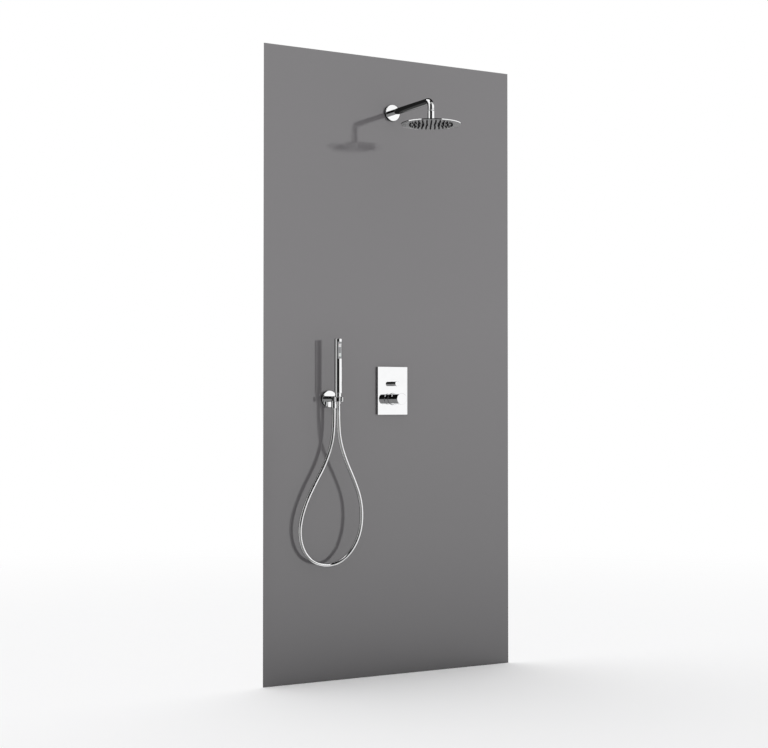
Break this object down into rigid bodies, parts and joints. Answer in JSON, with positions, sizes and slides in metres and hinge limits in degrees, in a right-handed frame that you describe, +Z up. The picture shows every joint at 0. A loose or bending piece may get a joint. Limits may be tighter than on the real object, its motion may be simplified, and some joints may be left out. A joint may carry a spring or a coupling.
{
  "type": "concealed shower set",
  "caption": "Concealed two-way shower mixer with trim plate, overhead rain shower on a wall arm, and stick hand shower with hose on a wall outlet holder.",
  "frame": {"origin": "on the finished wall plane, at the middle of the trim plate", "axes": "+X right along the wall, +Y into the wall, +Z up"},
  "size_m": [0.5353, 0.4655, 1.7824],
  "materials": {
    "chrome": "mirror polished chrome plate",
    "brass": "as cast and machined",
    "steel": "satin stainless steel",
    "copper": "drawn copper tube",
    "rubber": "black moulded rubber",
    "silicone": "dark grey silicone",
    "ceramic": "lapped alumina",
    "acetal": "moulded acetal",
    "spray_grey": "satin moulding",
    "hose_silver": "smooth silver"
  },
  "bodies": {
    "wall_set": {"valve_body": "brass", "cartridge_gasket": "rubber", "cartridge_base": "acetal", "fixed_disc": "ceramic", "cartridge_housing": "acetal", "cartridge_nut": "brass", "mixer_sleeve": "chrome", "sleeve_seal": "rubber", "trim_plate": "chrome", "plate_gasket": "rubber", "diverter_housing": "brass", "diverter_sleeve": "chrome", "diverter_spring": "steel", "riser_pipe": "copper", "hand_feed_pipe": "copper", "arm_elbow": "brass", "outlet_elbow": "brass", "shower_arm": "chrome", "arm_flange": "chrome", "outlet_flange": "chrome", "flange_gaskets": "rubber", "arm_seal": "rubber", "ball_nipple": "chrome", "wall_outlet": "chrome", "outlet_check_valve": "acetal", "shower_holder": "chrome", "holder_liner": "acetal", "holder_grub_screw": "steel", "outlet_washer": "rubber", "outlet_nut": "chrome", "outlet_ferrule": "chrome", "shower_hose": "hose_silver"},
    "mixer_rotor": {"cartridge_rotor": "acetal", "stem_pin": "steel"},
    "mixer_lever": {"mixer_stem": "brass", "mixer_handle": "chrome", "handle_grub_screw": "steel"},
    "mixer_disc": {"moving_disc": "ceramic"},
    "diverter": {"diverter_spindle": "brass", "diverter_seal": "rubber", "diverter_knob": "chrome", "knob_grub_screw": "steel"},
    "head_swivel": {"ball_seat": "acetal"},
    "head": {"head_nut": "chrome", "head_shell": "chrome", "head_face": "chrome", "nozzle_mat": "silicone", "head_seal": "rubber", "flow_restrictor": "acetal"},
    "hose_end": {"hose_swivel": "brass"},
    "hand_shower": {"cone_nut": "chrome", "filter_washer": "rubber", "handset_connector": "brass", "handset_tube": "chrome", "handset_pipe": "acetal", "spray_chamber": "acetal", "spray_plate": "spray_grey", "handset_nozzles": "silicone", "handset_cap": "chrome"}
  },
  "joints": [
    {"name": "handle_turn", "type": "hinge", "parent": "wall_set", "child": "mixer_rotor", "pos_m": [0, -0.0146, -0.032], "axis": [0, -1, 0], "range_deg": [-45, 45]},
    {"name": "handle_lift", "type": "hinge", "parent": "mixer_rotor", "child": "mixer_lever", "pos_m": [0, -0.0146, -0.032], "axis": [-1, 0, 0], "range_deg": [0, 20]},
    {"name": "disc_slide", "type": "slide", "parent": "mixer_rotor", "child": "mixer_disc", "axis": [0, 0, -1], "range_m": [0, 0.0026]},
    {"name": "diverter_pull", "type": "slide", "parent": "wall_set", "child": "diverter", "axis": [0, -1, 0], "range_m": [0, 0.008], "stiffness_N_per_m": 300, "springref_m": -0.004, "deforming": ["diverter_spring"]},
    {"name": "head_tilt_front", "type": "hinge", "parent": "wall_set", "child": "head_swivel", "pos_m": [0, -0.295, 1.035], "axis": [1, 0, 0], "range_deg": [-10, 10]},
    {"name": "head_tilt_side", "type": "hinge", "parent": "head_swivel", "child": "head", "pos_m": [0, -0.295, 1.035], "axis": [0, 1, 0], "range_deg": [-10, 10]},
    {"name": "hand_shower_lift", "type": "slide", "parent": "wall_set", "child": "hose_end", "axis": [0, 0, 1], "range_m": [0, 0.07], "deforming": ["shower_hose"]},
    {"name": "hand_shower_turn", "type": "hinge", "parent": "hose_end", "child": "hand_shower", "pos_m": [-0.2775, -0.08, -0.032], "axis": [0, 0, 1], "continuous": true}
  ],
  "couplings": [
    {"joint": "disc_slide", "follows": "handle_lift", "m_per_rad": 0.007}
  ]
}
